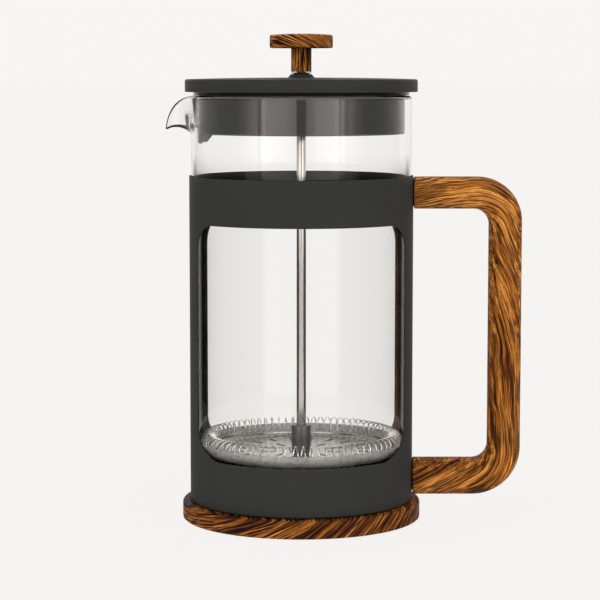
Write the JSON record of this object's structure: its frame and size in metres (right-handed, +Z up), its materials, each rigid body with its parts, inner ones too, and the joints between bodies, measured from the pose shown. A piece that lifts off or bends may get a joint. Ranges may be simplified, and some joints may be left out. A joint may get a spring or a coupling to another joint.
{
  "type": "french press",
  "caption": "Glass french press in a dark sheet frame on a round wood-effect base, with a wood-effect D handle, a domed lid and a plunger filter.",
  "frame": {"origin": "centre of the flat face of the base pad, which the press stands on", "axes": "+Z up along the plunger rod, +X towards the handle, -X towards the spout, windows at -Y and +Y"},
  "size_m": [0.1655, 0.1112, 0.2259],
  "materials": {
    "wood_effect": "satin, dark streaky grain",
    "foot_rubber": "matte",
    "bush_rubber": "satin black",
    "powder_coat": "fine matte powder coat, dark grey",
    "lid_plastic": "satin, dark grey",
    "liner_plastic": "gloss, dark grey",
    "clear_glass": "clear, polished",
    "insert_brass": "machined",
    "fixing_steel": "plain",
    "rod_steel": "polished",
    "filter_steel": "bright",
    "mesh_steel": "fine woven mesh"
  },
  "bodies": {
    "stand": {"base_disc": "wood_effect", "base_pad": "foot_rubber", "frame_shell": "powder_coat", "base_screw_1": "fixing_steel", "base_screw_2": "fixing_steel", "base_screw_3": "fixing_steel", "beaker_cushion": "foot_rubber", "handle": "wood_effect", "handle_screw_upper": "fixing_steel", "handle_screw_lower": "fixing_steel", "handle_insert_upper": "insert_brass", "handle_insert_lower": "insert_brass"},
    "beaker": {"glass_beaker": "clear_glass"},
    "bush": {"lid_bush": "bush_rubber", "bush_retainer": "fixing_steel"},
    "lid": {"lid_cap": "lid_plastic", "lid_liner": "liner_plastic"},
    "plunger": {"knob_disc": "wood_effect", "knob_stem": "wood_effect", "knob_insert": "insert_brass", "plunger_rod": "rod_steel", "hub_collar": "rod_steel", "spring_plate": "filter_steel", "filter_spring": "filter_steel", "filter_mesh": "mesh_steel", "cross_plate": "filter_steel", "hub_nut": "rod_steel"}
  },
  "joints": [
    {"name": "beaker_lift", "type": "slide", "parent": "stand", "child": "beaker", "axis": [0, 0, 1], "range_m": [0, 0.16]},
    {"name": "lid_lift", "type": "slide", "parent": "beaker", "child": "bush", "axis": [0, 0, 1], "range_m": [0, 0.18]},
    {"name": "lid_turn", "type": "hinge", "parent": "bush", "child": "lid", "pos_m": [0, 0, 0.2], "axis": [0, 0, 1], "continuous": true},
    {"name": "plunger_slide", "type": "slide", "parent": "bush", "child": "plunger", "axis": [0, 0, 1], "range_m": [0, 0.132]}
  ]
}
